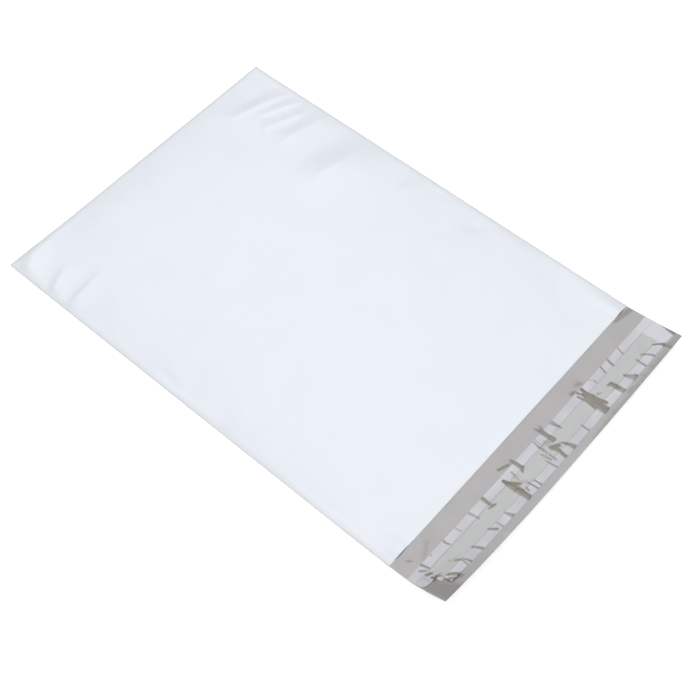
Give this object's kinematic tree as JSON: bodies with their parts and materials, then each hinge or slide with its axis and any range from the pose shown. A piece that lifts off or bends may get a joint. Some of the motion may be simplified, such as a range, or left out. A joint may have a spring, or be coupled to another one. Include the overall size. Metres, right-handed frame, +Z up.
{
  "type": "poly mailer bag",
  "caption": "Flat plastic film mailing bag with a folded bottom, welded sides, an open mouth and a closing lip with a release liner.",
  "frame": {"origin": "on the table, under the middle of the bag's outline", "axes": "+X along the bag from its bottom fold to its lip, +Y across the bag to its right side, +Z up from the back panel to the front panel"},
  "size_m": [0.3888, 0.25, 0.0121],
  "materials": {
    "film": "smooth co-extruded polyethylene film, white outside and grey inside",
    "adhesive": "clear hot-melt adhesive, tacky and glossy",
    "liner": "hazy clear release film"
  },
  "bodies": {
    "root": {"bag_film": "film", "adhesive_strip": "adhesive", "release_liner": "liner"}
  },
  "joints": []
}
